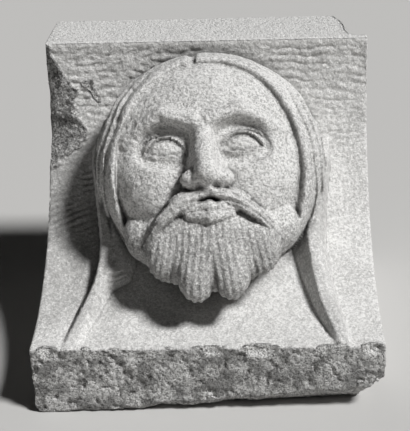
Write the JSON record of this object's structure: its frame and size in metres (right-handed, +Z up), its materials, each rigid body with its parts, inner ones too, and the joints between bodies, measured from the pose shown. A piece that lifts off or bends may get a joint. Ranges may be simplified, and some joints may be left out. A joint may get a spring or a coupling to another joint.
{
  "type": "stone corbel",
  "caption": "Worn stone corbel with a quarter-hollow front, a bearded head carved in the hollow and long locks running down to a plain square foot.",
  "frame": {"origin": "centre of the bounding box's underside, which is the middle of the flat underside the stone rests on", "axes": "+X across the block to its left as seen by someone standing behind it and looking out, which is the viewer's right from the front; -Y is the way the carved front looks; +Z up"},
  "size_m": [0.25, 0.234, 0.226],
  "materials": {
    "stone": null
  },
  "bodies": {
    "root": {"stone_corbel": "stone"}
  },
  "joints": []
}
